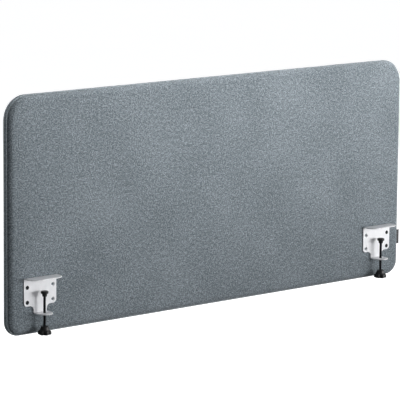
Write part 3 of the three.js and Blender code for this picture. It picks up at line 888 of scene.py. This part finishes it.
# Turned profiles, as (radius, height, ripple, rounding) corners. The knob's runs from the
# recess in its underside round the star and up the hub, and then down its bore.
KNOB_LOBES = 6
KNOB_PROFILE = [
    (9.8, 1.2, 0, 0), (10, 0.2, 0, 0.3), (13.4, 0, 1.3, 0.8), (17.0, 0.6, 2.2, 1.2),
    (17.8, 3.2, 2.4, 1.4), (17.8, 8.8, 2.4, 2.2), (16.4, 11.6, 2.0, 1.8),
    (13.8, 13.4, 0.7, 1.6), (12.5, 17.0, 0.0, 2.4), (11.7, 23.4, 0, 1.8),
    (10.6, 24.9, 0, 0.8), (6.0, 24.9, 0, 0.3), (5.6, 24.2, 0, 0.2), (4.35, 24.2, 0, 0.2),
    (4.3, 3.7, 0, 0),
]
# The pad's runs from the end of its socket, out of its mouth and up over the disc.
PAD_TOP = 128.7
PAD_PROFILE = [
    (3.8, 123.6, 0, 0), (3.8, 120.1, 0, 0.2), (3.0, 120.1, 0, 0.2), (3.0, 118.8, 0, 0.2),
    (4.4, 118.8, 0, 0.2), (4.4, 113, 0, 0.3), (6.5, 113, 0, 0.5), (7.5, 119.6, 0, 1.0),
    (7.8, 121.5, 0, 0.8), (10.9, 121.5, 0, 0.5), (11.5, 122.4, 0, 0.5),
    (11.5, 127.6, 0, 0.7), (10.6, PAD_TOP, 0, 0.5),
]
GROOVE = {"radii": (9.4, 7.4, 5.4, 3.4), "depth": 0.4, "slope": 0.3, "width": 1.2}


def lobes(angle):
    """The star's ripple at an angle, with broader lobes and deeper hollows than a cosine."""
    return 1.1 * np.cos(KNOB_LOBES * angle) - 0.1 * np.cos(2 * KNOB_LOBES * angle)


def star_knob(name, x):
    """A six-lobed grip that blends up into a round hub with a bore for the rod."""
    points, faces = turned(KNOB_PROFILE, 96, lobes)
    turn = TAU / KNOB_LOBES / 4
    across = points[:, 0] * math.cos(turn) - points[:, 1] * math.sin(turn)
    deep = points[:, 0] * math.sin(turn) + points[:, 1] * math.cos(turn)
    placed = np.stack([across, deep, points[:, 2]], axis=1) + [x, AXIS_Y, 0]
    crisp(mesh_object(f"{name}_star_knob", placed, faces, f"{name}_screw", BLACK_PLASTIC,
                      [f"{name}_knob"]))


def swivel_pad(name, x):
    """The pad that presses on the desk's underside, grooved for grip."""
    profile = list(PAD_PROFILE)
    floor_z = PAD_TOP - GROOVE["depth"]
    slope, width = GROOVE["slope"], GROOVE["width"]
    for radius in GROOVE["radii"]:
        profile += [(radius, PAD_TOP, 0, 0.15), (radius - slope, floor_z, 0, 0.1),
                    (radius - width + slope, floor_z, 0, 0.1),
                    (radius - width, PAD_TOP, 0, 0.15)]
    profile.append((0.8, PAD_TOP, 0, 0))
    points, faces = turned(profile, 64)
    crisp(mesh_object(f"{name}_swivel_pad", points + [x, AXIS_Y, 0], faces, f"{name}_pad",
                      BLACK_PLASTIC, [f"{name}_pressure_pad"]))


# ---------------------------------------------------------------- assembly

soft_half(front=True)
soft_half(front=False)
piping()
ribbon_tab()
for name, side in SIDES.items():
    bracket(name, side)
    rod(name, side * BRACKET_X)
    star_knob(name, side * BRACKET_X)
    swivel_pad(name, side * BRACKET_X)
    for level, z in HOLE["heights"].items():
        fixing_screw(name, level, side * (BRACKET_X + HOLE["x"]), z)

KEPT_NODES = {
    TIMBER: ["frame_top_rail", "frame_bottom_rail", "frame_left_stile", "frame_right_stile",
             "left_mounting_block", "right_mounting_block"],
    FELT: ["acoustic_core"],
    ZINC: [f"{name}_{level}_insert" for name in SIDES for level in HOLE["heights"]],
}
for material, nodes in KEPT_NODES.items():
    for node in nodes:
        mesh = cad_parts[node].data
        mesh.materials.clear()
        mesh.materials.append(material)

# ---------------------------------------------------------------- stage, light and camera

# From here on, places and sizes are metres in the row frame. The lens is in millimetres.
CAMERA_PLACE = Vector((-5.493471, -6.081179, 1.501260))
CAMERA_AHEAD = Vector((0.6565437, 0.7367016, -0.1619292))
CAMERA_RIGHT = Vector((0.74749, -0.66421, 0.00882))
CAMERA_LENS, CAMERA_SENSOR = 244.94, 36.0
FLOOR_Z = BOTTOM_Z - 0.047  # just below the knobs when their screws are run right down
FLOOR_GLOW = 0.76
BRIGHTEST = Vector((0.8, -0.42, 0.85)).normalized()  # the direction the surround is lit from
SURROUND_STRENGTH = 0.6
# Each softbox as its place, what it is aimed at, its width, height and power.
SOFTBOXES = {
    "key": ((2.4, -2.33, 0.55), (0.3, 0, 1.0), 3.0, 1.5, 37.5),
    "overhead": ((0, 0.3, 1.9), (0, 0, 0.4), 2.4, 0.6, 22),
    "rim": ((-2.6, 1.9, 0.9), (-0.8, 0, 0.2), 1.2, 1.2, 28),
    "behind": ((2.4, 2.4, 1.3), (0, 0, 0.2), 1.6, 1.2, 30),
}
KEY_SPREAD = math.radians(58)


def camera():
    data = bpy.data.cameras.new("camera")
    data.sensor_width = CAMERA_SENSOR
    data.lens = CAMERA_LENS
    data.clip_end = 100
    obj = bpy.data.objects.new("camera", data)
    right = (CAMERA_RIGHT - CAMERA_AHEAD * CAMERA_RIGHT.dot(CAMERA_AHEAD)).normalized()
    up = right.cross(CAMERA_AHEAD)
    axes = Matrix((right, up, -CAMERA_AHEAD)).transposed().to_4x4()
    obj.matrix_world = Matrix.Translation(CAMERA_PLACE) @ axes
    bpy.context.collection.objects.link(obj)
    bpy.context.scene.camera = obj


def floor():
    """A plain white floor. It glows, so that it stays white under the panel, but it
    doesn't light the panel from below."""
    mesh = bpy.data.meshes.new("floor")
    reach = 30
    mesh.from_pydata([(x * reach, y * reach, FLOOR_Z) for x, y in
                      ((-1, -1), (1, -1), (1, 1), (-1, 1))], [], [(0, 1, 2, 3)])
    g = Graph("floor_white")
    speckle = g.noise(g.node("ShaderNodeTexCoord", output=3), 3.0, 2.0)
    colour = g.ramp(speckle, (0.0, (0.60, 0.60, 0.60)), (1.0, (0.62, 0.62, 0.62)))
    material = g.finish(colour, 0.9, g.bump(speckle, 0.0001), Specular_IOR_Level=0.0)
    g.shader.inputs["Emission Color"].default_value = (1, 1, 1, 1)
    g.shader.inputs["Emission Strength"].default_value = FLOOR_GLOW
    mesh.materials.append(material)
    obj = bpy.data.objects.new("floor", mesh)
    bpy.context.collection.objects.link(obj)
    obj.visible_diffuse = False
    obj.visible_glossy = False


def softbox(name, place, target, width, height, power):
    """A rectangular light that the camera doesn't see."""
    data = bpy.data.lights.new(name, "AREA")
    data.shape = "RECTANGLE"
    data.size, data.size_y = width, height
    data.energy = power
    obj = bpy.data.objects.new(name, data)
    obj.location = place
    obj.rotation_euler = (Vector(target) - Vector(place)).to_track_quat("-Z", "Y").to_euler()
    obj.visible_camera = False
    bpy.context.collection.objects.link(obj)
    return obj


def surroundings():
    """White to the camera, and a dim surround lit from the right, the front and above."""
    world = bpy.data.worlds.new("surroundings")
    bpy.context.scene.world = world
    world.use_nodes = True
    tree = world.node_tree
    new, link = tree.nodes.new, tree.links.new
    place = new("ShaderNodeTexCoord")
    slope = new("ShaderNodeVectorMath")
    slope.operation = "DOT_PRODUCT"
    slope.inputs[1].default_value = BRIGHTEST
    link(place.outputs["Generated"], slope.inputs[0])
    ramp = new("ShaderNodeValToRGB")
    ramp.color_ramp.elements[0].position = 0.0
    ramp.color_ramp.elements[0].color = (0.10, 0.105, 0.11, 1)
    ramp.color_ramp.elements[1].position = 1.0
    ramp.color_ramp.elements[1].color = (0.95, 0.96, 0.98, 1)
    share = new("ShaderNodeMapRange")
    share.inputs["From Min"].default_value = -0.5
    share.inputs["From Max"].default_value = 1.0
    link(slope.outputs["Value"], share.inputs["Value"])
    link(share.outputs[0], ramp.inputs[0])
    dim = new("ShaderNodeBackground")
    dim.inputs["Strength"].default_value = SURROUND_STRENGTH
    link(ramp.outputs[0], dim.inputs["Color"])
    white = new("ShaderNodeBackground")
    white.inputs["Color"].default_value = (1, 1, 1, 1)
    rays = new("ShaderNodeLightPath")
    choose = new("ShaderNodeMixShader")
    link(rays.outputs["Is Camera Ray"], choose.inputs[0])
    link(dim.outputs[0], choose.inputs[1])
    link(white.outputs[0], choose.inputs[2])
    link(choose.outputs[0], tree.nodes["World Output"].inputs["Surface"])


camera()
floor()
surroundings()
lights = {name: softbox(name, *settings) for name, settings in SOFTBOXES.items()}
lights["key"].data.spread = KEY_SPREAD
bpy.context.scene.view_settings.view_transform = "Standard"

bpy.context.view_layer.update()
